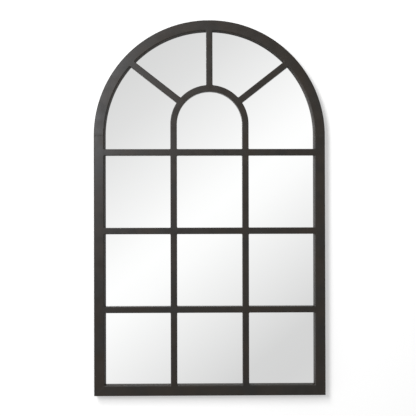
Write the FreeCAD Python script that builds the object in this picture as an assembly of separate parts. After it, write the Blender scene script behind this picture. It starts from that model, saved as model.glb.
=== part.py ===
# Arched window mirror for a wall, in millimetres.
#
# A frame of square steel tube, arched at the top, carries a window grille of narrower tube: a hoop whose
# long legs are the two vertical muntins, three rows of horizontal muntins and three spokes. One mirror
# sheet lies behind the grille, against a square rod that runs round the inside of the frame. A board backs
# the sheet, and offset clips screwed to the frame press both forward. Two ring hangers and two bumpers are
# on the back.
#
# X runs across, Y from the front to the wall, Z up. The origin is at the middle of the width and of the
# depth, at the height of the bottom edge.

import FreeCAD
import Part
import math
import os

V = FreeCAD.Vector

# ---------------------------------------------------------------- driving dimensions
frame_width = 610.0            # outside, over the two stiles
frame_height = 990.0           # outside, from the bottom rail to the crown of the arch
tube_size = 28.0               # square tube of the frame
tube_wall = 1.2
tube_corner = 3.0              # outside corner radius of that tube
corner_flats = 2               # flats that stand for each rounded corner of a tube

muntin_width = 17.0            # seen from the front
muntin_depth = 10.0            # front to back
muntin_wall = 1.0
muntin_corner = 1.5
leg_spacing = 189.5            # between the centre lines of the hoop's legs
hoop_rise = 30.5               # centre of the hoop's bow above the centre of the arch
top_bar_drop = 43.7            # centre line of the top row below the centre of the arch
rows = 3
spoke_angle = 38.0             # side spokes above the horizontal
weld_gap = 0.1                 # left between neighbouring lengths for the weld

stop_size = 3.0                # square rod that the glass lies against
glass_thickness = 3.0
glass_clearance = 1.0          # from the glass to the frame, all round
board_thickness = 3.0
board_clearance = 1.5          # from the board to the frame, all round

clip_thickness = 1.0
clip_width = 14.0
clip_foot = 14.0               # length on the back of the frame
clip_toe = 9.0                 # reach over the board
clip_corner = 3.0              # cut off the corners of the foot
clip_bend = 1.0                # outside of each bend
clip_clearance = 0.4           # from the clip to the inner wall of the frame
clip_screw_setback = 8.0       # from that wall to the screw
stile_clip_heights = (160.0, 470.0)
arch_clip_angles = (42.0, 90.0, 138.0)

screw_shank = 3.0              # diameter
screw_point = 1.0              # diameter at the end of its tip
screw_length = 9.0             # under the head
screw_head = 6.4               # diameter
screw_head_height = 1.9
screw_head_rim = 0.6           # height of the head's upright edge
screw_head_top = 3.6           # diameter of its flat crown
screw_clearance = 0.15         # round the shank
screw_sides = 10               # flats round the head, the shank and its hole

hanger_drop = 37.0             # hinge line of the rings below the centre of the arch
strap_width = 12.0
strap_length = 46.0            # below the hinge line
strap_thickness = 1.0
strap_end = 3.5                # cut off the corners of the lower end
strap_screws = (24.5, 38.5)    # below the hinge line
ring_wire = 2.5                # diameter
ring_half_width = 10.0         # to the wire's centre line
ring_leg = 7.0                 # hinge line to the centre of the ring's bow
ring_corner = 3.0              # bend radius on the centre line
ring_play = 0.15               # round the wire in its eye
ring_sides = 6                 # flats round the wire
eye_turn = 290.0               # degrees that the strap wraps round the ring

bumper_diameter = 14.0
bumper_height = 5.0
bumper_level = 42.0            # centre above the bottom edge

# ---------------------------------------------------------------- places worked out from them
arch_radius = frame_width / 2
spring_height = frame_height - arch_radius
arch_line = arch_radius - tube_size / 2
inner_radius = arch_radius - tube_size
hoop_radius = leg_spacing / 2
hoop_height = spring_height + hoop_rise
top_bar_height = spring_height - top_bar_drop
hanger_height = spring_height - hanger_drop
row_pitch = (top_bar_height + muntin_width / 2 - tube_size) / rows

front = -(tube_size + bumper_height) / 2
frame_back = front + tube_size
glass_front = front + muntin_depth
board_front = glass_front + glass_thickness
board_back = board_front + board_thickness
clip_recess = frame_back - board_back
clip_top = frame_back + clip_thickness
eye_inner = ring_wire / 2 + ring_play
eye_outer = eye_inner + strap_thickness
hinge_depth = frame_back + strap_thickness + eye_inner

FRAME_TUBE = (tube_size, tube_size, tube_wall, tube_corner)
MUNTIN_TUBE = (muntin_width, muntin_depth, muntin_wall, muntin_corner)
WELD = -weld_gap               # inset of a section that is grown by the weld gap
SIDES = {"left": -1, "right": 1}
TOUCH = 1e-3                   # closer than this counts as the same place


# ---------------------------------------------------------------- tube sections and members
def section(kind, inset, x_mid=0.0, z=0.0):
    """Outline across a tube in the X-Y plane, moved inwards by the inset. Only the bore has sharp corners."""
    width, depth, _, corner = kind
    radius = 0.0 if inset > 0 else corner - inset
    half = width / 2 - inset - radius
    near, far = front + inset + radius, front + depth - inset - radius
    corners = [(x_mid + half, far, 0), (x_mid - half, far, 90),
               (x_mid - half, near, 180), (x_mid + half, near, 270)]
    turns = [90.0 * step / corner_flats for step in range(corner_flats + 1)] if radius else [0.0]
    points = []
    for x, y, start in corners:
        for turn in turns:
            angle = math.radians(start + turn)
            points.append(V(x + radius * math.cos(angle), y + radius * math.sin(angle), z))
    return Part.Face(Part.makePolygon(points + points[:1]))


def upright(kind, inset, x_mid, bottom, top):
    """A length that stands along Z."""
    return section(kind, inset, x_mid, bottom).extrude(V(0, 0, top - bottom))


def half_ring(kind, inset, radius, height):
    """A length bent through half a turn, from +X over the top to -X."""
    return section(kind, inset, radius, height).revolve(V(0, 0, height), V(0, -1, 0), 180)


def beam(kind, inset, start, end):
    """A straight length between two (x, z) points on its centre line."""
    run = V(end[0] - start[0], 0, end[1] - start[1])
    solid = section(kind, inset).extrude(V(0, 0, run.Length))
    solid.rotate(V(0, 0, 0), V(0, 1, 0), math.degrees(math.atan2(run.x, run.z)))
    solid.translate(V(start[0], 0, start[1]))
    return solid


def hollow(shape, kind):
    """The tube whose outside is shape(0) and whose bore is shape(wall)."""
    return shape(0).cut(shape(kind[2]))


def hoop_shape(inset):
    """The bent hoop with both of its long legs, down into the bottom rail."""
    legs = [upright(MUNTIN_TUBE, inset, side * hoop_radius, tube_size / 2, hoop_height) for side in (-1, 1)]
    bow = half_ring(MUNTIN_TUBE, inset, hoop_radius, hoop_height)
    return bow.multiFuse(legs).removeSplitter()


# ---------------------------------------------------------------- outer frame
def mitre_prism(side, trimmed):
    """Prism that cuts a bottom corner at 45 degrees, to trim the stile or the rail."""
    along = V(-side, 0, 1).normalize()
    away = V(-side, 0, -1).normalize() if trimmed == "stile" else V(side, 0, 1).normalize()
    corner = V(side * arch_radius, front - tube_size, 0) - away * (weld_gap / 2)
    reach = 4 * tube_size
    points = [corner - along * reach, corner + along * reach, corner + away * reach]
    return Part.Face(Part.makePolygon(points + points[:1])).extrude(V(0, 3 * tube_size, 0))


def stile(side):
    x_mid = side * arch_line
    tube = hollow(lambda inset: upright(FRAME_TUBE, inset, x_mid, 0, spring_height - weld_gap), FRAME_TUBE)
    return tube.cut(mitre_prism(side, "stile"))


def bottom_rail():
    ends = [(side * arch_radius, tube_size / 2) for side in (-1, 1)]
    tube = hollow(lambda inset: beam(FRAME_TUBE, inset, *ends), FRAME_TUBE)
    for side in SIDES.values():
        tube = tube.cut(mitre_prism(side, "rail"))
    return tube


def arch():
    return hollow(lambda inset: half_ring(FRAME_TUBE, inset, arch_line, spring_height), FRAME_TUBE)


def frame_envelope():
    """Outside of the whole frame, grown by the weld gap: what the grille is coped to."""
    stiles = [upright(FRAME_TUBE, WELD, side * arch_line, 0, spring_height) for side in (-1, 1)]
    rail = beam(FRAME_TUBE, WELD, (-arch_radius, tube_size / 2), (arch_radius, tube_size / 2))
    return half_ring(FRAME_TUBE, WELD, arch_line, spring_height).multiFuse(stiles + [rail])


# ---------------------------------------------------------------- stop for the glass
def stop_lengths(grown=0.0):
    """The four lengths of square rod, by name, each made larger by the given amount on its open sides."""
    size = stop_size + grown
    near = glass_front - size
    outer = inner_radius - weld_gap
    span = 2 * (inner_radius - weld_gap)
    foot = tube_size + weld_gap
    lengths = {"bottom": Part.makeBox(span, size, size, V(-span / 2, near, foot))}
    low = foot + stop_size + weld_gap
    for name, side in SIDES.items():
        corner = V(min(side * outer, side * (outer - size)), near, low)
        lengths[name] = Part.makeBox(size, size, spring_height - weld_gap - low, corner)
    whole, bore = [Part.makeCylinder(radius, size, V(0, near, spring_height), V(0, 1, 0))
                   for radius in (outer, outer - size)]
    below = Part.makeBox(2 * outer, size, outer, V(-outer, near, spring_height - outer))
    lengths["arch"] = whole.cut(bore).cut(below)
    return lengths


# ---------------------------------------------------------------- grille
def hoop(surroundings):
    """Bow and both legs in one bent tube, its feet coped to the bottom rail and notched over the stop."""
    return hollow(hoop_shape, MUNTIN_TUBE).cut(surroundings)


def row_bar(row, column, surroundings):
    """One length of a row, counted down from the top, coped to what it meets at both ends."""
    height = top_bar_height - row * row_pitch
    lines = [-arch_line, -hoop_radius, hoop_radius, arch_line]
    ends = [(lines[column], height), (lines[column + 1], height)]
    return hollow(lambda inset: beam(MUNTIN_TUBE, inset, *ends), MUNTIN_TUBE).cut(surroundings)


def spoke(angle, surroundings):
    """A radial length from the hoop to the arch, pointing at the centre of the hoop's bow."""
    turn = math.radians(angle)
    start = (hoop_radius * math.cos(turn), hoop_height + hoop_radius * math.sin(turn))
    along = hoop_rise * math.sin(turn)
    across = hoop_rise * math.cos(turn)
    reach = math.sqrt(arch_line ** 2 - across ** 2) - along
    end = (reach * math.cos(turn), hoop_height + reach * math.sin(turn))
    return hollow(lambda inset: beam(MUNTIN_TUBE, inset, start, end), MUNTIN_TUBE).cut(surroundings)


# ---------------------------------------------------------------- glass and board
def arched_plate(clearance, near, thickness):
    """A sheet with the outline of the frame's inside, less the clearance."""
    half = inner_radius - clearance
    foot = tube_size + clearance
    corners = [V(-half, near, spring_height), V(-half, near, foot), V(half, near, foot),
               V(half, near, spring_height)]
    crown = V(0, near, spring_height + half)
    edges = [Part.makeLine(*ends) for ends in zip(corners[:-1], corners[1:])]
    edges.append(Part.Arc(corners[-1], crown, corners[0]).toShape())
    return Part.Face(Part.Wire(edges)).extrude(V(0, thickness, 0))


# ---------------------------------------------------------------- screws
def disc(diameter, sides, y):
    """Closed polygon round the Y axis, as wide as the diameter over its corners."""
    turns = [2 * math.pi * side / sides for side in range(sides)]
    points = [V(diameter / 2 * math.cos(turn), y, diameter / 2 * math.sin(turn)) for turn in turns]
    return Part.makePolygon(points + points[:1])


def pan_head_screw():
    """Screw along Y: the underside of its head at y = 0, its point towards -Y."""
    outline = [(screw_point, -screw_length), (screw_shank, screw_shank - screw_length), (screw_shank, 0)]
    head = [(screw_head, 0), (screw_head, screw_head_rim), (screw_head_top, screw_head_height)]
    solids = []
    for lower, upper in zip(outline[:-1] + head[:-1], outline[1:] + head[1:]):
        rings = [disc(diameter, screw_sides, y) for diameter, y in (lower, upper)]
        solids.append(Part.makeLoft(rings, True, True))
    return solids[0].multiFuse(solids[1:]).removeSplitter()


def screw_at(x, seat, z):
    screw = pan_head_screw()
    screw.translate(V(x, seat, z))
    return screw


def screw_hole(x, z):
    """Hole for a screw through whatever lies behind the middle of the frame's tube."""
    diameter = screw_shank + 2 * screw_clearance
    hole = Part.Face(disc(diameter, screw_sides, frame_back - tube_size / 2)).extrude(V(0, tube_size, 0))
    hole.translate(V(x, 0, z))
    return hole


# ---------------------------------------------------------------- retaining clips
def clip_blank():
    """Offset clip at the origin: wall of the frame at x = 0, back of the frame at y = 0, board below it."""
    near, far = clip_clearance, clip_clearance + clip_thickness
    outline = [(-clip_foot, 0), (near, 0), (near, -clip_recess), (near + clip_toe, -clip_recess),
               (near + clip_toe, clip_thickness - clip_recess), (far, clip_thickness - clip_recess),
               (far, clip_thickness), (-clip_foot, clip_thickness), (-clip_foot, 0)]
    face = Part.Face(Part.makePolygon([V(x, y, -clip_width / 2) for x, y in outline]))
    clip = face.extrude(V(0, 0, clip_width))
    bends = [edge for edge in clip.Edges if edge.BoundBox.ZLength > clip_width / 2
             and on_place(edge, [(near, -clip_recess), (far, clip_thickness)])]
    clip = clip.makeFillet(clip_bend, bends)
    corners = [edge for edge in clip.Edges if edge.BoundBox.YLength > clip_thickness / 2
               and edge.BoundBox.XMax < TOUCH - clip_foot]
    return clip.makeChamfer(clip_corner, corners)


def on_place(edge, places):
    box = edge.BoundBox
    return any(abs(box.XMin - x) + abs(box.YMin - y) < TOUCH for x, y in places)


def clip_places():
    """Name of each clip, the point on the frame's inner wall and the angle that it faces."""
    places = {"bottom_clip": (0.0, tube_size, 90)}
    for name, side in SIDES.items():
        for number, height in enumerate(stile_clip_heights, 1):
            places["%s_clip_%d" % (name, number)] = (side * inner_radius, height, 90 + 90 * side)
    for number, angle in enumerate(arch_clip_angles, 1):
        turn = math.radians(angle)
        x, z = inner_radius * math.cos(turn), spring_height + inner_radius * math.sin(turn)
        places["arch_clip_%d" % number] = (x, z, angle + 180)
    return places


def clip_screw_place(x, z, facing):
    turn = math.radians(facing)
    return x - clip_screw_setback * math.cos(turn), z - clip_screw_setback * math.sin(turn)


def clip(x, z, facing):
    solid = clip_blank()
    solid.rotate(V(0, 0, 0), V(0, -1, 0), facing)
    solid.translate(V(x, frame_back, z))
    return solid.cut(screw_hole(*clip_screw_place(x, z, facing)))


# ---------------------------------------------------------------- ring hangers
def strap(side):
    """Strap screwed to the back of a stile, its upper end rolled into an eye round the ring."""
    def on_circle(radius, angle):
        turn = math.radians(angle)
        return V(0, hinge_depth - radius * math.cos(turn), hanger_height + radius * math.sin(turn))

    low = hanger_height - strap_length
    near, far = frame_back, frame_back + strap_thickness
    outer = [on_circle(eye_outer, angle) for angle in (0, eye_turn / 2, eye_turn)]
    inner = [on_circle(eye_inner, angle) for angle in (eye_turn, eye_turn / 2, 0)]
    edges = [Part.makeLine(V(0, near, low), outer[0]), Part.Arc(*outer).toShape(),
             Part.makeLine(outer[2], inner[0]), Part.Arc(*inner).toShape(),
             Part.makeLine(inner[2], V(0, far, low)), Part.makeLine(V(0, far, low), V(0, near, low))]
    solid = Part.Face(Part.Wire(edges)).extrude(V(strap_width, 0, 0))
    solid.translate(V(side * arch_line - strap_width / 2, 0, 0))
    ends = [edge for edge in solid.Edges
            if edge.BoundBox.ZMax < low + TOUCH and edge.BoundBox.XLength < TOUCH]
    solid = solid.makeChamfer(strap_end, ends)
    for drop in strap_screws:
        solid = solid.cut(screw_hole(side * arch_line, hanger_height - drop))
    return solid


def wire_section(centre, along):
    """Outline across the ring's wire, with flats towards the front and the back."""
    across = along.cross(V(0, 1, 0))
    points = []
    for side in range(ring_sides):
        turn = 2 * math.pi * (side + 0.5) / ring_sides
        points.append(centre + (V(0, 1, 0) * math.cos(turn) + across * math.sin(turn)) * (ring_wire / 2))
    return Part.Face(Part.makePolygon(points + points[:1]))


def ring(side):
    """D-shaped ring of round wire, hanging down from its straight bar."""
    wide, bar = ring_half_width, ring_half_width - ring_corner
    right, down = V(1, 0, 0), V(0, 0, -1)
    turning = V(0, 1, 0)
    half = [wire_section(V(0, 0, 0), right).extrude(right * bar),
            wire_section(V(bar, 0, 0), right).revolve(V(bar, 0, -ring_corner), turning, 90),
            wire_section(V(wide, 0, -ring_corner), down).extrude(down * (ring_leg - ring_corner)),
            wire_section(V(wide, 0, -ring_leg), down).revolve(V(0, 0, -ring_leg), turning, 90)]
    pieces = half + [piece.mirror(V(0, 0, 0), right) for piece in half]
    solid = pieces[0].multiFuse(pieces[1:]).removeSplitter()
    solid.translate(V(side * arch_line, hinge_depth, hanger_height))
    return solid


def hanger_screws():
    seat = frame_back + strap_thickness
    places = [(side * arch_line, hanger_height - drop) for side in (-1, 1) for drop in strap_screws]
    return [screw_at(x, seat, z) for x, z in places]


# ---------------------------------------------------------------- bumpers
def bumper(side):
    foot = V(side * arch_line, frame_back, bumper_level)
    return Part.makeCylinder(bumper_diameter / 2, bumper_height, foot, V(0, 1, 0))


# ---------------------------------------------------------------- the assembly
def frame_parts():
    """The four frame tubes, with the screw holes of the clips and hangers in their backs."""
    tubes = {"arch_tube": arch(), "bottom_rail_tube": bottom_rail()}
    for name, side in SIDES.items():
        tubes["%s_stile_tube" % name] = stile(side)
    holes = [screw_hole(*clip_screw_place(*place)) for place in clip_places().values()]
    holes += [screw_hole(side * arch_line, hanger_height - drop) for side in (-1, 1) for drop in strap_screws]
    return {name: tube.cut(Part.makeCompound(holes)) for name, tube in tubes.items()}


def grille_parts():
    """Hoop, row bars and spokes, coped to the frame, the stop and each other."""
    around = frame_envelope().multiFuse(list(stop_lengths(weld_gap).values()))
    parts = {"window_hoop": hoop(around)}
    inside = around.fuse(hoop_shape(WELD))
    for row in range(rows):
        for column, name in enumerate(("left", "centre", "right")):
            parts["row_%d_bar_%s" % (row + 1, name)] = row_bar(row, column, inside)
    for name, angle in (("left", 180 - spoke_angle), ("centre", 90), ("right", spoke_angle)):
        parts["spoke_%s" % name] = spoke(angle, inside)
    return parts


def back_parts():
    """Clips, hangers, bumpers and their screws."""
    parts = {}
    screws = []
    for name, place in clip_places().items():
        parts[name] = clip(*place)
        x, z = clip_screw_place(*place)
        screws.append(screw_at(x, clip_top, z))
    parts["clip_screws"] = Part.makeCompound(screws)
    parts["hanger_screws"] = Part.makeCompound(hanger_screws())
    for name, side in SIDES.items():
        parts["%s_hanger_strap" % name] = strap(side)
        parts["%s_hanger_ring" % name] = ring(side)
        parts["%s_bumper" % name] = bumper(side)
    return parts


def assembly():
    parts = frame_parts()
    parts.update(grille_parts())
    for name, rod in stop_lengths().items():
        parts["%s_glass_stop" % name] = rod
    parts["mirror_sheet"] = arched_plate(glass_clearance, glass_front, glass_thickness)
    parts["backing_board"] = arched_plate(board_clearance, board_front, board_thickness)
    parts.update(back_parts())
    return parts


os.makedirs("parts", exist_ok=True)
for node, shape in assembly().items():
    state = "valid" if shape.isValid() else "INVALID"
    print("%s %s, %d solids, %.1f mm3" % (node, state, len(shape.Solids), shape.Volume))
    shape.exportStep("parts/%s.step" % node)
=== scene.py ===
import math

import bmesh
import bpy
from mathutils import Matrix, Vector
from mathutils.geometry import tessellate_polygon


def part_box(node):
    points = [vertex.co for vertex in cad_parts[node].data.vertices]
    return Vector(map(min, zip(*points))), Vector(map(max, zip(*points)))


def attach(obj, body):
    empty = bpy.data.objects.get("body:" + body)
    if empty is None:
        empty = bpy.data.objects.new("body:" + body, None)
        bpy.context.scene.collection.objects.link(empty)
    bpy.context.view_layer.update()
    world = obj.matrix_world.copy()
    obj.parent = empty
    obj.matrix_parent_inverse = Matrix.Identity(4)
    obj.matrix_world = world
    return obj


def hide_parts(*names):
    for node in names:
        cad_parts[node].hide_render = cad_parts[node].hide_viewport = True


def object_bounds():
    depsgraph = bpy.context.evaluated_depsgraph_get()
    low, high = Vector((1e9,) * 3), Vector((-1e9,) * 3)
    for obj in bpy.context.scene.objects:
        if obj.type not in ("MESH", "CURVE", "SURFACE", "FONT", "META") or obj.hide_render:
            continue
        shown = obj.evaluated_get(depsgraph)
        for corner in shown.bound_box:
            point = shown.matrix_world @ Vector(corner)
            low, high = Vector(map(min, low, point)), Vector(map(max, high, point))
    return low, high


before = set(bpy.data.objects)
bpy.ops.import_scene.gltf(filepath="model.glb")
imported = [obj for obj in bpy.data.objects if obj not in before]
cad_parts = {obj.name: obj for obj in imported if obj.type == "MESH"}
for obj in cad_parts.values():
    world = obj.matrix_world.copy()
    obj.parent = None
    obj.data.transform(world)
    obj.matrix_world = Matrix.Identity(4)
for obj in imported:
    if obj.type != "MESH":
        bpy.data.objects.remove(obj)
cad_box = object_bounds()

BODY = "mirror_frame"
MM = 0.001

# ---------------------------------------------------------------- sizes, read from the solids
arch_low, arch_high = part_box("arch_tube")
outer_radius = arch_high.x
spring = arch_low.z            # centre of the arch, where it stands on the stiles
front, back = arch_low.y, arch_high.y
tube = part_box("bottom_rail_tube")[1].z
inner_radius = outer_radius - tube
glass_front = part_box("mirror_sheet")[0].y
rows = [(low.z, high.z) for low, high in (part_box("row_%d_bar_left" % row) for row in (1, 2, 3))]
muntin = rows[0][1] - rows[0][0]
hoop_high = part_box("window_hoop")[1]
hoop_outer = hoop_high.x
hoop_inner = hoop_outer - muntin
hoop_centre = hoop_high.z - hoop_outer

# ---------------------------------------------------------------- sizes of the steelwork's finish
SPOKE_ANGLE = 38.0             # side spokes above the horizontal, in degrees
TUBE_EDGE = 3.0 * MM           # rounding of the frame's tube
MUNTIN_EDGE = 1.6 * MM         # rounding of the muntins' front
BACK_EDGE = 1.0 * MM           # rounding of the muntins towards the glass
GLASS_GAP = 0.1 * MM           # from the grille to the glass
WELD_CORNER = 2.2 * MM         # painted weld in the corners of the panes
BEAD_SLOPE = [(-0.3, 3.0), (0.25, 3.6), (0.9, 5.0), (1.7, 7.0), (2.4, 8.7), (2.8, 9.45), (3.0, 9.9),
              (-0.3, 9.9)]     # section of the glazing bead, in mm: reach over the glass, depth behind the front
ARC_STEP = 4.0 * MM            # spacing of the points along an arc
EDGE_STEPS = 5                 # steps round the edge of a tube or muntin
BACK_STEPS = 3                 # steps round the muntins' edge at the glass
CORNER_STEPS = 5               # steps round a pane's corner
LEAST_AREA = 1e-14             # below this a triangle counts as empty


# ---------------------------------------------------------------- outlines in the X-Z plane
def arc(cx, cz, radius, start, end):
    """Points along an arc, both ends included, angles in degrees."""
    count = max(2, int(abs(math.radians(end - start)) * radius / ARC_STEP) + 1)
    turns = [math.radians(start + (end - start) * step / count) for step in range(count + 1)]
    return [Vector((cx + radius * math.cos(turn), cz + radius * math.sin(turn))) for turn in turns]


def circle_hit(start, along, cz, radius):
    """Where a line from start meets the circle about (0, cz), going along."""
    offset = start - Vector((0, cz))
    half = offset.dot(along)
    return start + along * (math.sqrt(half * half - offset.length_squared + radius * radius) - half)


def angle_of(point, cz):
    """Angle of a point round (0, cz), in degrees."""
    return math.degrees(math.atan2(point.y - cz, point.x))


def pane_outlines():
    """Every pane as its runs, counter-clockwise: each run is (points, True where a muntin bounds it)."""
    panes = []
    columns = [(-inner_radius, -hoop_outer, False, True), (-hoop_inner, hoop_inner, True, True),
               (hoop_outer, inner_radius, True, False)]
    floors = [rows[1][1], rows[2][1], tube]
    for index, low in enumerate(floors):
        high = rows[index][0]
        for left, right, left_bar, right_bar in columns:
            a, b = Vector((left, low)), Vector((right, low))
            c, d = Vector((right, high)), Vector((left, high))
            has_sill_bar = index < len(floors) - 1
            panes.append([([a, b], has_sill_bar), ([b, c], right_bar), ([c, d], True), ([d, a], left_bar)])
    sill = rows[0][1]
    panes.append([([Vector((-hoop_inner, sill)), Vector((hoop_inner, sill))], True),
                  ([Vector((hoop_inner, sill))] + arc(0, hoop_centre, hoop_inner, 0, 180)
                   + [Vector((-hoop_inner, sill))], True)])
    turn = math.radians(SPOKE_ANGLE)
    along = Vector((math.cos(turn), math.sin(turn)))
    across = Vector((-along.y, along.x)) * muntin / 2
    centre = Vector((0, hoop_centre))
    side = [circle_hit(centre + across * sign, along, hoop_centre, hoop_outer) for sign in (-1, 1)]
    rim = [circle_hit(centre + across * sign, along, spring, inner_radius) for sign in (-1, 1)]
    up, half = Vector((0, 1)), Vector((muntin / 2, hoop_centre))
    crown_in = circle_hit(half, up, hoop_centre, hoop_outer)
    crown_out = circle_hit(half, up, spring, inner_radius)
    low_in, low_out = Vector((hoop_outer, sill)), Vector((inner_radius, sill))
    lower = [([low_in, low_out], True),
             ([low_out] + arc(0, spring, inner_radius, 0, angle_of(rim[0], spring)), False),
             ([rim[0], side[0]], True),
             (arc(0, hoop_centre, hoop_outer, angle_of(side[0], hoop_centre), 0) + [low_in], True)]
    upper = [([side[1], rim[1]], True),
             (arc(0, spring, inner_radius, angle_of(rim[1], spring), angle_of(crown_out, spring)), False),
             ([crown_out, crown_in], True),
             (arc(0, hoop_centre, hoop_outer, angle_of(crown_in, hoop_centre),
                  angle_of(side[1], hoop_centre)), True)]
    for pane in (lower, upper):
        panes.append(pane)
        panes.append([([Vector((-p.x, p.y)) for p in reversed(points)], bar)
                      for points, bar in reversed(pane)])
    return panes


def trimmed(points, cut):
    """The run with that length taken off its start."""
    points = [p.copy() for p in points]
    while len(points) > 2 and (points[1] - points[0]).length <= cut:
        cut -= (points[1] - points[0]).length
        points.pop(0)
    points[0] = points[0] + (points[1] - points[0]).normalized() * cut
    return points


def rounded(runs, radius):
    """Closed loop through the runs with rounded corners: points, and for each how far it bounds a muntin."""
    cuts = []                  # at the start of each run: length cut off, length of the curve's handles
    for (before, _), (after, _) in zip(runs[-1:] + runs[:-1], runs):
        turning = (before[-1] - before[-2]).angle(after[1] - after[0])
        cuts.append((radius * math.tan(turning / 2), 4 / 3 * math.tan(turning / 4) * radius))
    loop, share = [], []
    for index, (points, bar) in enumerate(runs):
        following = (index + 1) % len(runs)
        run = trimmed(points, cuts[index][0])
        run = trimmed(run[::-1], cuts[following][0])[::-1]
        loop += run
        share += [float(bar)] * len(run)
        after = trimmed(runs[following][0], cuts[following][0])
        handle = cuts[following][1]
        a, d = run[-1], after[0]
        b = a + (run[-1] - run[-2]).normalized() * handle
        c = d - (after[1] - after[0]).normalized() * handle
        for step in range(1, CORNER_STEPS):
            t = step / CORNER_STEPS
            s = 1 - t
            loop.append(a * s ** 3 + b * 3 * t * s ** 2 + c * 3 * t * t * s + d * t ** 3)
            share.append(bar * s + runs[following][1] * t)
    return loop, share


def frame_outline(radius, low):
    """Outline of the frame, counter-clockwise, with sharp bottom corners."""
    return [Vector((-radius, low)), Vector((radius, low))] + arc(0, spring, radius, 0, 180)


def moved_out(loop, distances):
    """The loop moved outwards, by one distance for each point."""
    moved = []
    for index, point in enumerate(loop):
        before = (point - loop[index - 1]).normalized()
        after = (loop[(index + 1) % len(loop)] - point).normalized()
        normal = Vector((before.y + after.y, -before.x - after.x))
        moved.append(point + normal * distances[index] * 2 / normal.length_squared)
    return moved


# ---------------------------------------------------------------- mesh helpers
def new_piece(name, bm, material, replaces, smooth_angle=35.0, body=BODY, closed=True):
    """Makes an object from a bmesh, shades it and lets it ride on its body, in place of those nodes."""
    mesh = bpy.data.meshes.new(name)
    if closed:
        bmesh.ops.recalc_face_normals(bm, faces=bm.faces)
    bm.normal_update()
    for edge in bm.edges:
        if len(edge.link_faces) == 2:
            edge.smooth = edge.calc_face_angle() < math.radians(smooth_angle)
    for face in bm.faces:
        face.smooth = True
    bm.to_mesh(mesh)
    bm.free()
    piece = bpy.data.objects.new(name, mesh)
    bpy.context.scene.collection.objects.link(piece)
    mesh.materials.append(material)
    weighted = piece.modifiers.new("weighted_normals", "WEIGHTED_NORMAL")
    weighted.keep_sharp = True
    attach(piece, body)
    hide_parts(*replaces)


def ring(bm, loop, distances, depths):
    """Vertices round a loop, moved outwards and set at a depth, one value for each point."""
    return [bm.verts.new((p.x, y, p.y)) for p, y in zip(moved_out(loop, distances), depths)]


def level_ring(bm, loop, distance, y):
    """The same, with one distance and one depth all round."""
    return ring(bm, loop, [distance] * len(loop), [y] * len(loop))


def skin(bm, rings, outward=False):
    """Quads between successive rings. A pane's rings go from the front back and face into the pane."""
    for near, far in zip(rings[:-1], rings[1:]):
        for index in range(len(near)):
            after = (index + 1) % len(near)
            quad = [near[index], near[after], far[after], far[index]]
            bm.faces.new(quad[::-1] if outward else quad)


def cap(bm, loops, facing):
    """Flat face with holes between loops of vertices, its normal along Y as given."""
    verts = [vert for loop in loops for vert in loop]
    for triangle in tessellate_polygon([[Vector((v.co.x, v.co.z, 0)) for v in loop] for loop in loops]):
        corners = [verts[index] for index in triangle]
        a, b, c = (Vector((v.co.x, v.co.z)) for v in corners)
        area = (b - a).cross(c - a)
        if abs(area) < LEAST_AREA:
            continue
        bm.faces.new(corners if (area > 0) == (facing < 0) else corners[::-1])


def quarter(steps=EDGE_STEPS):
    """Angles of a quarter turn in even steps."""
    return [math.pi / 2 * step / steps for step in range(steps + 1)]


def rounding(radius, steps=EDGE_STEPS):
    """Round edge from a flat face to the side next to it: (inset from the side, depth below the face)."""
    return [(radius * (1 - math.sin(t)), radius * (1 - math.cos(t))) for t in quarter(steps)]


# ---------------------------------------------------------------- the welded and painted steelwork
def steelwork():
    """Frame and grille in one painted skin: flush front faces, rounded tube edges, welds in the corners."""
    bm = bmesh.new()
    edge = rounding(TUBE_EDGE)
    to_back = [(inset, back - depth) for inset, depth in reversed(edge)]
    outline = frame_outline(outer_radius, 0)
    outside = [level_ring(bm, outline, -inset, front + depth) for inset, depth in edge]
    outside += [level_ring(bm, outline, -inset, y) for inset, y in to_back]
    skin(bm, outside, outward=True)
    holes = []
    rear = glass_front - GLASS_GAP
    for runs in pane_outlines():
        loop, share = rounded(runs, WELD_CORNER)
        radii = [TUBE_EDGE * (1 - bar) + MUNTIN_EDGE * bar for bar in share]
        rings = [ring(bm, loop, [radius * inset for radius in radii], [front + radius * depth for radius in radii])
                 for inset, depth in rounding(1.0)]
        rings += [ring(bm, loop, [inset * bar for bar in share], [rear - depth] * len(loop))
                  for inset, depth in reversed(rounding(BACK_EDGE, BACK_STEPS))]
        skin(bm, rings)
        holes.append(rings[0])
    cap(bm, [outside[0]] + holes, -1)
    inner = frame_outline(inner_radius, tube)
    inside = [level_ring(bm, inner, inset, y) for inset, y in [(0, rear)] + to_back]
    skin(bm, inside)
    cap(bm, [outside[-1], inside[-1]], 1)
    return bm


def glazing_bead():
    """Sloping bead round the inside of the frame, from its rounded edge down to the glass."""
    bm = bmesh.new()
    inner = frame_outline(inner_radius, tube)
    rings = [level_ring(bm, inner, -reach * MM, front + depth * MM) for reach, depth in BEAD_SLOPE]
    skin(bm, rings + rings[:1])
    return bm


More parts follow.
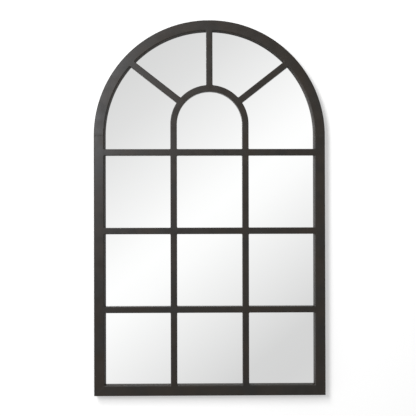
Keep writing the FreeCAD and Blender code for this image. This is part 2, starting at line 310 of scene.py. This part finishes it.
# ---------------------------------------------------------------- sizes of the fittings on the back
CLIP_GAP = 0.4 * MM            # from the clip to the inner wall of the frame
CLIP_BEND = 1.2 * MM           # bends, on the centre line
CLIP_ROUND = 5.0 * MM          # length of the clip's rounded foot
CLIP_EDGE = 0.22 * MM          # rounding of the clip's long edges
TOE_ROUND = 1.6 * MM           # length of its rounded toe
TIP_LEAST = 0.08               # width left at the end of a round tip, as a share
CLIP_SCREW_SETBACK = 8.0 * MM  # from the inner wall of the frame
SCREW_SHANK = 3.0 * MM
SCREW_LENGTH = 9.0 * MM
SCREW_TIP = 0.05 * MM          # radius of the very point
SCREW_POINT = 1.6 * MM         # length of the tapered end
SCREW_HEAD = 6.4 * MM
SCREW_RISE = 1.9 * MM          # height of the head
SCREW_RIM = 0.55 * MM          # height of the head's upright edge
SCREW_BEVEL = 0.15 * MM        # under that edge
SCREW_DOME = 0.62              # fullness of the dome, 1 for an ellipse
SCREW_CROWN = 0.25 * MM        # radius of the flat on top
RECESS = ((0.60, 0.24, 1.30), (1.70, 0.42, 0.35), (2.15, 0.52, -0.4))  # cross: reach, half width, depth, in mm
RING_WIRE = 2.5 * MM
RING_HALF = 10.0 * MM          # half width, to the wire's centre line
RING_LEG = 7.0 * MM            # from the hinge line to the centre of the bow
RING_BEND = 3.0 * MM
RING_PLAY = 0.15 * MM          # round the wire in its eye
EYE_TURN = 290.0               # degrees that the strap wraps round the ring
EYE_STEPS = 22
STRAP_EDGE = 0.25 * MM         # rounding of the strap's long edges
STRAP_FLAT = 12.0 * MM         # last section of the flat part, below the hinge line
STRAP_SCREWS = (24.5 * MM, 38.5 * MM)
FOOT_RIM = 1.1 * MM            # rounding of the rubber foot's rim
FOOT_TAPER = 0.35 * MM
FOOT_DISH = ((3.4, 0.0), (2.9, 0.15), (2.6, 0.6), (0.1, 0.7))          # radius and depth, in mm
CENTRE_HOLE = 0.1 * MM         # radius at which a turned form is closed


# ---------------------------------------------------------------- fittings on the back
def tube_of(bm, rings, closed=False):
    """Skin through successive rings of points; its ends are capped unless it closes on itself."""
    loops = [[bm.verts.new(point) for point in points] for points in rings]
    following = loops[1:] + loops[:1] if closed else loops[1:]
    for near, far in zip(loops, following):
        for index in range(len(near)):
            after = (index + 1) % len(near)
            bm.faces.new((near[index], near[after], far[after], far[index]))
    if not closed:
        bm.faces.new(loops[0][::-1])
        bm.faces.new(loops[-1])


def turned(profile, centre, segments=32):
    """Rings round the Y axis through the centre, one for each (radius, y) of the profile."""
    turns = [2 * math.pi * side / segments for side in range(segments)]
    return [[centre + Vector((radius * math.cos(turn), y, radius * math.sin(turn))) for turn in turns]
            for radius, y in profile]


def rounded_corner(x, y, radius, start, steps=4):
    """Points of a quarter turn round (x, y), from the start angle in degrees."""
    turns = [math.radians(start + 90 * step / steps) for step in range(steps + 1)]
    return [(x + radius * math.cos(turn), y + radius * math.sin(turn)) for turn in turns]


def strip_section(half_width, thickness, edge):
    """Outline across a flat strip, with its four edges rounded."""
    half = thickness / 2
    points = []
    for sign_w, sign_t, start in ((1, 1, 0), (-1, 1, 90), (-1, -1, 180), (1, -1, 270)):
        points += rounded_corner(sign_w * (half_width - edge), sign_t * (half - edge), edge, start, 3)
    return points


def strip(bm, path, thickness, edge, place):
    """Bent strip. The path gives (along, up, half width) on its centre line; place sets it in the scene."""
    rings = []
    for index, (x, y, half_width) in enumerate(path):
        before, after = path[max(index - 1, 0)], path[min(index + 1, len(path) - 1)]
        run = Vector((after[0] - before[0], after[1] - before[1])).normalized()
        rings.append([place @ Vector((x - run.y * t, y + run.x * t, w))
                      for w, t in strip_section(half_width, thickness, edge)])
    tube_of(bm, rings)


def round_end(start, length, half_width, direction):
    """Half widths along the last stretch of a strip that ends in a round tip: (distance, half width)."""
    return [(start + direction * length * math.sin(t), max(half_width * math.cos(t), TIP_LEAST * half_width))
            for t in quarter(6)]


def clip_path():
    """Centre line of an offset clip: foot on the frame, step down the wall, toe on the board."""
    low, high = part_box("bottom_clip")
    thickness = high.y - back
    half_width = (high.x - low.x) / 2
    foot, reach = tube - low.z, high.z - tube
    drop = back - low.y
    near, bend = CLIP_GAP + thickness / 2, CLIP_BEND
    top, bottom = thickness / 2, thickness / 2 - drop
    foot_end = round_end(CLIP_ROUND - foot, CLIP_ROUND, half_width, -1)
    toe_end = round_end(reach - TOE_ROUND, TOE_ROUND, half_width, 1)
    path = [(x, top, width) for x, width in reversed(foot_end)]
    path += [(near - bend + bend * math.sin(t), top - bend + bend * math.cos(t), half_width)
             for t in quarter(4)]
    path += [(near + bend - bend * math.cos(t), bottom + bend - bend * math.sin(t), half_width)
             for t in quarter(4)]
    return path + [(x, bottom, width) for x, width in toe_end], thickness


def clip_places():
    """For each clip, the point on the frame's inner wall and the direction towards the board, in degrees."""
    places = {"bottom_clip": (0, tube, 90)}
    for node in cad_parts:
        if "_clip_" not in node:
            continue
        low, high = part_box(node)
        x, z = (low.x + high.x) / 2, (low.z + high.z) / 2
        if node.startswith("arch"):
            turn = math.atan2(z - spring, x)
            places[node] = (inner_radius * math.cos(turn), spring + inner_radius * math.sin(turn),
                            math.degrees(turn) + 180)
        else:
            side = -1 if node.startswith("left") else 1
            places[node] = (side * inner_radius, z, 90 + 90 * side)
    return places


def clips():
    """All the retaining clips, each turned to face the board."""
    bm = bmesh.new()
    path, thickness = clip_path()
    for x, z, facing in clip_places().values():
        turn = math.radians(facing)
        along = Vector((math.cos(turn), 0, math.sin(turn)))
        across = Vector((-math.sin(turn), 0, math.cos(turn)))
        place = Matrix((along, (0, 1, 0), across)).transposed().to_4x4()
        place.translation = Vector((x, back, z))
        strip(bm, path, thickness, CLIP_EDGE, place)
    return bm


def cross_outline(reach, half, y):
    """The twelve corners of a cross in the X-Z plane."""
    corners = [(reach, -half), (reach, half), (half, half), (half, reach), (-half, reach), (-half, half),
               (-reach, half), (-reach, -half), (-half, -half), (-half, -reach), (half, -reach), (half, -half)]
    return [Vector((x, y, z)) for x, z in corners]


def screw_mesh():
    """Pan-head screw along Y, seated at y = 0, with a cross recess cut into its head."""
    head = bmesh.new()
    shank, radius = SCREW_SHANK / 2, SCREW_HEAD / 2
    profile = [(SCREW_TIP, -SCREW_LENGTH), (shank, SCREW_POINT - SCREW_LENGTH), (shank, 0),
               (radius - SCREW_BEVEL, 0), (radius, SCREW_BEVEL), (radius, SCREW_RIM)]
    dome = SCREW_RISE - SCREW_RIM
    profile += [(radius * math.cos(t) ** SCREW_DOME, SCREW_RIM + dome * math.sin(t)) for t in quarter(8)[1:-1]]
    profile.append((SCREW_CROWN, SCREW_RISE))
    tube_of(head, turned(profile, Vector(), 36))
    cutter = bmesh.new()
    tube_of(cutter, [cross_outline(reach * MM, half * MM, SCREW_RISE - depth * MM)
                     for reach, half, depth in RECESS])
    objects = []
    for name, builder in (("screw_blank", head), ("screw_cutter", cutter)):
        bmesh.ops.recalc_face_normals(builder, faces=builder.faces)
        mesh = bpy.data.meshes.new(name)
        builder.to_mesh(mesh)
        builder.free()
        objects.append(bpy.data.objects.new(name, mesh))
        bpy.context.scene.collection.objects.link(objects[-1])
    cut = objects[0].modifiers.new("recess", "BOOLEAN")
    cut.operation, cut.object, cut.solver = "DIFFERENCE", objects[1], "EXACT"
    result = bpy.data.meshes.new_from_object(objects[0].evaluated_get(bpy.context.evaluated_depsgraph_get()))
    for made in objects:
        bpy.data.objects.remove(made)
    return result


def screws(mesh, seats, turns):
    """Copies of the screw at each (x, seat, z), each with its recess at another angle."""
    bm = bmesh.new()
    for (x, y, z), turn in zip(seats, turns):
        count = len(bm.verts)
        bm.from_mesh(mesh)
        bm.verts.ensure_lookup_table()
        matrix = Matrix.Translation((x, y, z)) @ Matrix.Rotation(math.radians(turn), 4, "Y")
        bmesh.ops.transform(bm, matrix=matrix, verts=bm.verts[count:])
    return bm


def clip_screw_seats():
    """Where the clips' screws sit, as (x, seat, z)."""
    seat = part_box("bottom_clip")[1].y
    seats = []
    for x, z, facing in clip_places().values():
        turn = math.radians(facing)
        seats.append((x - CLIP_SCREW_SETBACK * math.cos(turn), seat, z - CLIP_SCREW_SETBACK * math.sin(turn)))
    return seats


def hinge(side):
    """Centre of the bar of a hanger's ring."""
    low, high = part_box("%s_hanger_ring" % side)
    return Vector(((low.x + high.x) / 2, (low.y + high.y) / 2, high.z - RING_WIRE / 2))


def ring_path():
    """Centre line of the D-shaped ring, from the middle of its bar all the way round, as (x, z)."""
    bar = RING_HALF - RING_BEND
    right = [(0.0, 0.0), (bar / 2, 0.0)]
    right += [(bar + RING_BEND * math.sin(t), RING_BEND * (math.cos(t) - 1)) for t in quarter(6)]
    right += [(RING_HALF * math.cos(t), -RING_LEG - RING_HALF * math.sin(t)) for t in quarter(14)]
    return right + [(-x, z) for x, z in right[-2:0:-1]]


def hanger_ring(side):
    """D-shaped ring of round wire, hanging down from its bar."""
    bm = bmesh.new()
    centre, path = hinge(side), ring_path()
    radius, rings = RING_WIRE / 2, []
    for index, (x, z) in enumerate(path):
        before, after = path[index - 1], path[(index + 1) % len(path)]
        run = Vector((after[0] - before[0], 0, after[1] - before[1])).normalized()
        across = run.cross(Vector((0, 1, 0)))
        turns = [2 * math.pi * step / 16 for step in range(16)]
        rings.append([centre + Vector((x, 0, z)) + Vector((0, radius * math.cos(t), 0))
                      + across * radius * math.sin(t) for t in turns])
    tube_of(bm, rings, closed=True)
    return bm


def hanger_strap(side):
    """Flat strap with a round lower end, rolled into an eye round the ring's bar."""
    bm = bmesh.new()
    low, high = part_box("%s_hanger_strap" % side)
    centre = hinge(side)
    half_width = (high.x - low.x) / 2
    rise = centre.y - back
    thickness = rise - RING_WIRE / 2 - RING_PLAY
    roll = rise - thickness / 2
    length = centre.z - low.z
    tip = round_end(length - half_width, half_width, half_width, 1)
    path = [(-x, roll, width) for x, width in reversed(tip)]
    path.append((-STRAP_FLAT, roll, half_width))
    wraps = [math.radians(EYE_TURN * step / EYE_STEPS) for step in range(EYE_STEPS + 1)]
    path += [(roll * math.sin(t), roll * math.cos(t), half_width) for t in wraps]
    place = Matrix(((0, 0, 1), (0, -1, 0), (1, 0, 0))).to_4x4()
    place.translation = centre
    strip(bm, path, thickness, STRAP_EDGE, place)
    return bm


def hanger_screw_seats():
    """Where the straps' screws sit, as (x, seat, z)."""
    seats = []
    for side in ("left", "right"):
        centre = hinge(side)
        thickness = centre.y - back - RING_WIRE / 2 - RING_PLAY
        seats += [(centre.x, back + thickness, centre.z - drop) for drop in STRAP_SCREWS]
    return seats


def bumper(side):
    """Round rubber foot with a soft rim and a shallow dish in its face."""
    bm = bmesh.new()
    low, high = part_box("%s_bumper" % side)
    radius, height = (high.x - low.x) / 2, high.y - low.y
    inside, shoulder = radius - FOOT_TAPER - FOOT_RIM, height - FOOT_RIM
    profile = [(CENTRE_HOLE, 0), (radius, 0), (radius - FOOT_TAPER, shoulder)]
    profile += [(inside + FOOT_RIM * math.cos(t), shoulder + FOOT_RIM * math.sin(t)) for t in quarter(5)]
    profile += [(reach * MM, height - depth * MM) for reach, depth in FOOT_DISH]
    tube_of(bm, turned(profile, Vector(((low.x + high.x) / 2, low.y, (low.z + high.z) / 2)), 40))
    return bm


# ---------------------------------------------------------------- materials
SEAM_WIDTH = 0.7 * MM          # half width of a seam line
WELD_REACH = 9.0 * MM          # how far the dressed patch of a weld reaches along the stile
EDGE_MARGIN = 0.2 * MM         # keeps a seam off the face next to it
MITRE_SHARE = 0.6              # depth of the mitres' seams, beside those at the spring line
WELD_ROUGH = 0.22              # how much rougher a dressed weld is


class Shading:
    """Short ways to add nodes to a node tree. Numbers go into sockets, and outputs are linked."""

    def __init__(self, tree):
        self.nodes, self.links = tree.nodes, tree.links

    def add(self, kind, **settings):
        node = self.nodes.new("ShaderNode" + kind)
        for setting, value in settings.items():
            setattr(node, setting, value)
        return node

    def feed(self, socket, value):
        if isinstance(value, (int, float, tuple)):
            socket.default_value = value
        else:
            self.links.new(value, socket)

    def calc(self, operation, first, second=None, clamp=False):
        node = self.add("Math", operation=operation, use_clamp=clamp)
        self.feed(node.inputs[0], first)
        if second is not None:
            self.feed(node.inputs[1], second)
        return node.outputs[0]

    def mixed(self, first, share, second, other_share):
        """Weighted sum of two values."""
        return self.calc("ADD", self.calc("MULTIPLY", first, share), self.calc("MULTIPLY", second, other_share))

    def near(self, distance, width):
        """1 where the distance is 0, falling to 0 at the width."""
        return self.calc("SUBTRACT", 1.0, self.calc("DIVIDE", distance, width), clamp=True)

    def noise(self, place, scale, detail=4.0, roughness=0.5, distortion=0.0):
        texture = self.add("TexNoise")
        self.feed(texture.inputs["Vector"], place)
        self.feed(texture.inputs["Scale"], scale)
        self.feed(texture.inputs["Detail"], detail)
        self.feed(texture.inputs["Roughness"], roughness)
        self.feed(texture.inputs["Distortion"], distortion)
        return texture.outputs["Fac"]

    def ramp(self, value, stops):
        """Colour ramp from (position, grey or colour) stops."""
        band = self.add("ValToRGB")
        elements = band.color_ramp.elements
        while len(elements) < len(stops):
            elements.new(0.5)
        for element, (position, colour) in zip(elements, stops):
            element.position = position
            element.color = (colour,) * 3 + (1,) if isinstance(colour, float) else colour + (1,)
        self.links.new(value, band.inputs["Fac"])
        return band.outputs["Color"]

    def bump(self, height, distance, strength=1.0, normal=None):
        relief = self.add("Bump")
        self.feed(relief.inputs["Distance"], distance)
        self.feed(relief.inputs["Strength"], strength)
        self.feed(relief.inputs["Height"], height)
        if normal is not None:
            self.links.new(normal, relief.inputs["Normal"])
        return relief.outputs["Normal"]

    def axes(self, vector):
        split = self.add("SeparateXYZ")
        self.links.new(vector, split.inputs[0])
        return [split.outputs[axis] for axis in "XYZ"]


def new_material(name):
    """A node material: itself, its shading, the Principled shader and the object's coordinates."""
    material = bpy.data.materials.new(name)
    material.use_nodes = True
    shading = Shading(material.node_tree)
    return material, shading, shading.nodes["Principled BSDF"], shading.add("TexCoord").outputs["Object"]


def seam_masks(shading, place):
    """Fine seam lines where the frame's lengths meet, and the uneven patch of each dressed weld there."""
    calc = shading.calc
    x, _, z = shading.axes(place)
    across = calc("ABSOLUTE", x)
    on_stile = calc("GREATER_THAN", across, inner_radius + EDGE_MARGIN)
    on_rail = calc("LESS_THAN", z, tube - EDGE_MARGIN)
    from_spring = calc("ABSOLUTE", calc("SUBTRACT", z, spring))
    from_mitre = calc("ABSOLUTE", calc("SUBTRACT", calc("SUBTRACT", outer_radius, across), z))
    line = calc("MULTIPLY", on_stile, shading.near(from_spring, SEAM_WIDTH))
    corner = calc("MULTIPLY", calc("MULTIPLY", on_stile, on_rail), shading.near(from_mitre, SEAM_WIDTH))
    uneven = shading.noise(place, scale=130.0, detail=3.0, roughness=0.6)
    uneven = calc("MULTIPLY", calc("SUBTRACT", uneven, 0.42), 4.0, clamp=True)
    patch = calc("MULTIPLY", calc("MULTIPLY", on_stile, shading.near(from_spring, WELD_REACH)), uneven)
    return calc("MAXIMUM", line, calc("MULTIPLY", corner, MITRE_SHARE)), patch


def paint_material(name, gloss_low, gloss_high, relief):
    """Black powder coat, half matt, warm in the dark and slate in the sheen, with dressed welds."""
    material, shading, shader, place = new_material(name)
    shader.inputs["Specular IOR Level"].default_value = 0.305
    shader.inputs["Specular Tint"].default_value = (0.912, 0.938, 1.0, 1)
    clouds = shading.noise(place, scale=14.0, detail=5.0, roughness=0.6, distortion=0.4)
    colour = shading.ramp(clouds, [(0.30, (0.0150, 0.0095, 0.0045)), (0.50, (0.0118, 0.0085, 0.0048)),
                                   (0.72, (0.0090, 0.0080, 0.0060))])
    shading.feed(shader.inputs["Base Color"], colour)
    seam, patch = seam_masks(shading, place)
    rub = shading.noise(place, scale=45.0, detail=1.5)
    drift = shading.noise(place, scale=9.0, detail=3.0)
    rough = shading.ramp(shading.mixed(rub, 0.6, drift, 0.4), [(0.36, gloss_low), (0.64, gloss_high)])
    rough = shading.calc("ADD", rough, shading.calc("MULTIPLY", patch, WELD_ROUGH))
    shading.feed(shader.inputs["Roughness"], rough)
    grain = shading.noise(place, scale=900.0, detail=1.0)
    waves = shading.noise(place, scale=30.0, detail=0.0)
    normal = shading.bump(grain, 0.01 * MM, 0.25 * relief)
    normal = shading.bump(waves, 0.15 * MM, 0.30 * relief, normal)
    groove = shading.calc("SUBTRACT", 1.0, seam)
    shading.feed(shader.inputs["Normal"], shading.bump(groove, 0.25 * MM, 0.8, normal))
    return material


def mirror_material():
    """Silvered float glass seen from the front, wiped clean but for the faintest haze."""
    material, shading, shader, place = new_material("silvered_glass")
    shader.inputs["Base Color"].default_value = (0.965, 0.970, 0.968, 1)
    shader.inputs["Metallic"].default_value = 1.0
    haze = shading.noise(place, scale=7.0, detail=5.0, roughness=0.6, distortion=0.8)
    shading.feed(shader.inputs["Roughness"], shading.ramp(haze, [(0.45, 0.0), (0.80, 0.035)]))
    return material


def board_material():
    """Brown hardboard, its smooth face out: pressed fibres, darker flecks."""
    material, shading, shader, place = new_material("hardboard")
    clouds = shading.noise(place, scale=6.0, detail=8.0, roughness=0.7)
    fibres = shading.noise(place, scale=420.0, detail=4.0, roughness=0.75, distortion=1.5)
    colour = shading.ramp(shading.mixed(fibres, 0.75, clouds, 0.25),
                          [(0.30, (0.105, 0.058, 0.033)), (0.50, (0.205, 0.128, 0.078)),
                           (0.72, (0.315, 0.215, 0.140))])
    shading.feed(shader.inputs["Base Color"], colour)
    shading.feed(shader.inputs["Roughness"], shading.ramp(fibres, [(0.3, 0.50), (0.7, 0.72)]))
    shading.feed(shader.inputs["Normal"], shading.bump(fibres, 0.08 * MM, 0.5))
    return material


def plated_material(name, colour, roughness):
    """Bright plated steel with a slight grain and cloudiness."""
    material, shading, shader, place = new_material(name)
    shader.inputs["Metallic"].default_value = 1.0
    clouds = shading.noise(place, scale=220.0, detail=5.0, roughness=0.6)
    dark = tuple(0.78 * part for part in colour)
    shading.feed(shader.inputs["Base Color"], shading.ramp(clouds, [(0.3, dark), (0.7, colour)]))
    shading.feed(shader.inputs["Roughness"],
                 shading.ramp(clouds, [(0.3, roughness + 0.10), (0.7, roughness)]))
    scratches = shading.noise(place, scale=1500.0, detail=3.0)
    shading.feed(shader.inputs["Normal"], shading.bump(scratches, 0.02 * MM, 0.3))
    return material


def rubber_material():
    """Soft black rubber with a little dust on it."""
    material, shading, shader, place = new_material("soft_rubber")
    dust = shading.noise(place, scale=300.0, detail=5.0, roughness=0.6)
    shading.feed(shader.inputs["Base Color"], shading.ramp(dust, [(0.35, 0.018), (0.75, 0.045)]))
    shading.feed(shader.inputs["Roughness"], shading.ramp(dust, [(0.3, 0.62), (0.7, 0.80)]))
    shading.feed(shader.inputs["Normal"], shading.bump(dust, 0.05 * MM, 0.4))
    return material


paint = paint_material("black_powder_coat", 0.30, 0.43, 1.0)
bead_paint = paint_material("black_powder_coat_bead", 0.37, 0.42, 0.2)
silver = mirror_material()
hardboard = board_material()
zinc = plated_material("galvanised_zinc", (0.62, 0.62, 0.60), 0.34)
bright = plated_material("bright_zinc", (0.70, 0.70, 0.68), 0.22)
nickel = plated_material("nickel_plate", (0.68, 0.66, 0.61), 0.20)
rubber = rubber_material()


# ---------------------------------------------------------------- pieces
STEEL_NODES = [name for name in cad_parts
               if name.endswith("_tube") or name == "window_hoop" or "_bar_" in name or name.startswith("spoke_")]
STOP_NODES = [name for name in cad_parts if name.endswith("_glass_stop")]
CLIP_NODES = [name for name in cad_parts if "_clip_" in name or name == "bottom_clip"]
CLIP_SCREW_TURNS = (12, 67, 31, 84, 48, 5, 73, 22)
HANGER_SCREW_TURNS = (38, 80, 15, 57)

new_piece("steelwork", steelwork(), paint, STEEL_NODES, closed=False)
new_piece("glazing_bead", glazing_bead(), bead_paint, STOP_NODES, closed=False)
new_piece("retaining_clips", clips(), zinc, CLIP_NODES)
screw = screw_mesh()
for name, seats, turns in (("clip_screw", clip_screw_seats(), CLIP_SCREW_TURNS),
                           ("hanger_screw", hanger_screw_seats(), HANGER_SCREW_TURNS)):
    new_piece("%s_heads" % name, screws(screw, seats, turns), bright, ["%ss" % name],
              smooth_angle=30.0)
for side in ("left", "right"):
    new_piece("%s_strap" % side, hanger_strap(side), nickel, ["%s_hanger_strap" % side])
    new_piece("%s_d_ring" % side, hanger_ring(side), nickel, ["%s_hanger_ring" % side],
              smooth_angle=60.0, body="%s_ring" % side)
    new_piece("%s_rubber_foot" % side, bumper(side), rubber, ["%s_bumper" % side])

for name, finish in (("mirror_sheet", silver), ("backing_board", hardboard)):
    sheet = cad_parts[name]
    sheet.data.materials.clear()
    sheet.data.materials.append(finish)


# ---------------------------------------------------------------- stage, light and camera
WALL_CORNERS = ((-6, -5), (6, -5), (6, 7), (-6, 7))
WALL_WHITE = 0.64
WALL_GLOW = 0.37
AMBIENT_FRONT = 0.42
AMBIENT_BACK = 0.90
AMBIENT_BLEND = 0.8            # how fast one passes into the other, from front to back

LEAST_AHEAD = 0.2              # keeps the slopes of sideways directions finite
SHEEN_START = 0.45
SHEEN_DOWN = 1.2
SHEEN = [(0.0, 0.62), (0.188, 0.725), (0.243, 0.77), (0.43, 1.01), (0.465, 1.035), (0.51, 1.005),
         (0.736, 0.69), (0.79, 0.675), (1.0, 0.60)]
SIDE_MOST = 4.6                # light from the left and from high ahead, for grazing reflections
SIDES = [(0.12, 1.6), (0.36, 1.0), (0.64, 1.0), (0.84, SIDE_MOST)]
SIDE_LEFT = 0.45
SIDE_RAISED = 0.50
FORWARD_GAIN = 1.6
OVERHEAD_SHADE = 0.75          # how much darker it is straight above
BEHIND = [(0.25, 0.45), (0.55, 0.90), (0.80, 0.85), (1.0, 0.60)]
BEHIND_GAIN = 2.5

LAMP_AIM = Vector((0, 0, 0.5))
LAMPS = {"key": (Vector((-1.10, -2.6, 1.22)), 0.9, 39.0, True),
         "soft": (Vector((-1.15, -2.4, 2.15)), 1.2, 47.0, False)}
LAMP_DEPTH = 2.5               # bounces after which the lamps are left out, against speckles

CAMERA_PLACE = Vector((-0.0318, -2.25, 0.4843))
CAMERA_TURNS = (-0.704, 0.256, -0.139)     # yaw, pitch and roll, in degrees
SENSOR = 36.0
LENS = 73.4


def wall():
    """The white wall that the mirror hangs on. It takes the mirror's shadow and shows from the front only."""
    bm = bmesh.new()
    bm.faces.new([bm.verts.new((x, cad_box[1].y, z)) for x, z in WALL_CORNERS])
    mesh = bpy.data.meshes.new("wall")
    bm.to_mesh(mesh)
    bm.free()
    plane = bpy.data.objects.new("wall", mesh)
    bpy.context.scene.collection.objects.link(plane)
    material = bpy.data.materials.new("white_wall")
    material.use_nodes = True
    shading = Shading(material.node_tree)
    shading.nodes.remove(shading.nodes["Principled BSDF"])
    matt, glow = shading.add("BsdfDiffuse"), shading.add("Emission")
    matt.inputs["Color"].default_value = (WALL_WHITE,) * 3 + (1,)
    glow.inputs["Strength"].default_value = WALL_GLOW
    both, side = shading.add("AddShader"), shading.add("MixShader")
    shading.feed(both.inputs[0], matt.outputs[0])
    shading.feed(both.inputs[1], glow.outputs[0])
    shading.feed(side.inputs["Fac"], shading.add("NewGeometry").outputs["Backfacing"])
    shading.feed(side.inputs[1], both.outputs[0])
    shading.feed(side.inputs[2], shading.add("BsdfTransparent").outputs[0])
    shading.feed(shading.nodes["Material Output"].inputs["Surface"], side.outputs[0])
    mesh.materials.append(material)
    plane.visible_diffuse = plane.visible_glossy = plane.visible_shadow = False
    plane.visible_transmission = False


def glossy_light(shading, direction):
    """What glossy rays see: a soft band ahead, brighter sides, and a gradient behind."""
    calc = shading.calc
    x, y, z = shading.axes(direction)
    ahead = calc("MAXIMUM", calc("MULTIPLY", y, -1.0), LEAST_AHEAD)
    right, high = calc("DIVIDE", x, ahead), calc("DIVIDE", z, ahead)
    slant = calc("ADD", calc("ADD", right, SHEEN_START), calc("MULTIPLY", high, -SHEEN_DOWN))
    forwards = calc("MULTIPLY", y, -FORWARD_GAIN, clamp=True)
    raised = calc("MULTIPLY", z, forwards)
    aside = calc("ADD", shading.mixed(x, -SIDE_LEFT, raised, SIDE_RAISED), 0.5)
    sides = shading.ramp(aside, [(position, tone / SIDE_MOST) for position, tone in SIDES])
    overhead = calc("MULTIPLY", z, calc("SUBTRACT", 1.0, forwards), clamp=True)
    shade = calc("SUBTRACT", 1.0, calc("MULTIPLY", overhead, OVERHEAD_SHADE))
    band = shading.add("VectorMath", operation="SCALE")
    shading.feed(band.inputs[0], shading.ramp(slant, SHEEN))
    shading.feed(band.inputs["Scale"], calc("MULTIPLY", calc("MULTIPLY", sides, SIDE_MOST), shade))
    behind = shading.ramp(calc("ADD", calc("MULTIPLY", z, 0.5), 0.5), BEHIND)
    return blend(shading, calc("MULTIPLY", y, BEHIND_GAIN, clamp=True), band.outputs[0], behind)


def blend(shading, factor, first, second):
    """Mix of two colours."""
    mix = shading.add("Mix", data_type="RGBA")
    shading.feed(mix.inputs["Factor"], factor)
    shading.feed(mix.inputs["A"], first)
    shading.feed(mix.inputs["B"], second)
    return mix.outputs["Result"]


def studio_world():
    """White to the camera. Glossy rays see soft gradients, and all other rays a plain ambient light."""
    world = bpy.data.worlds.new("studio")
    bpy.context.scene.world = world
    world.use_nodes = True
    shading = Shading(world.node_tree)
    direction = shading.add("TexCoord").outputs["Generated"]
    backwards = shading.calc("MULTIPLY", shading.axes(direction)[1], AMBIENT_BLEND)
    ambient = blend(shading, shading.calc("ADD", backwards, 0.5, clamp=True),
                    (AMBIENT_FRONT,) * 3 + (1,), (AMBIENT_BACK,) * 3 + (1,))
    path = shading.add("LightPath")
    lit = blend(shading, path.outputs["Is Glossy Ray"], ambient, glossy_light(shading, direction))
    seen = blend(shading, path.outputs["Is Camera Ray"], lit, (1, 1, 1, 1))
    shading.feed(shading.nodes["Background"].inputs["Color"], seen)


def studio_lamps():
    """Two round soft lamps, up and to the left: place, width, power, and whether gloss shows them."""
    for name, (place, width, power, in_gloss) in LAMPS.items():
        lamp = bpy.data.lights.new(name, "AREA")
        lamp.shape = "DISK"
        lamp.size = width
        lamp.energy = power
        lamp.use_nodes = True
        shading = Shading(lamp.node_tree)
        depth = shading.add("LightPath").outputs["Ray Depth"]
        shading.feed(shading.nodes["Emission"].inputs["Strength"], shading.calc("LESS_THAN", depth, LAMP_DEPTH))
        light = bpy.data.objects.new(name, lamp)
        bpy.context.scene.collection.objects.link(light)
        light.location = place
        light.visible_glossy = in_gloss
        light.rotation_euler = (LAMP_AIM - place).to_track_quat("-Z", "Y").to_euler()


def camera():
    """Camera at the photograph's place: a step back, a little left of the middle, turned slightly."""
    lens = bpy.data.cameras.new("camera")
    lens.sensor_width = SENSOR
    lens.lens = LENS
    view = bpy.data.objects.new("camera", lens)
    bpy.context.scene.collection.objects.link(view)
    yaw, pitch, roll = (math.radians(turn) for turn in CAMERA_TURNS)
    ahead = Vector((-math.sin(yaw) * math.cos(pitch), math.cos(yaw) * math.cos(pitch), math.sin(pitch)))
    level = Vector((math.cos(yaw), math.sin(yaw), 0))
    right = level * math.cos(roll) + level.cross(ahead) * math.sin(roll)
    turn = Matrix((right, right.cross(ahead), -ahead)).transposed().to_4x4()
    view.matrix_world = Matrix.Translation(CAMERA_PLACE) @ turn
    bpy.context.scene.camera = view


studio_world()
wall()
studio_lamps()
camera()
bpy.context.scene.view_settings.view_transform = "Standard"
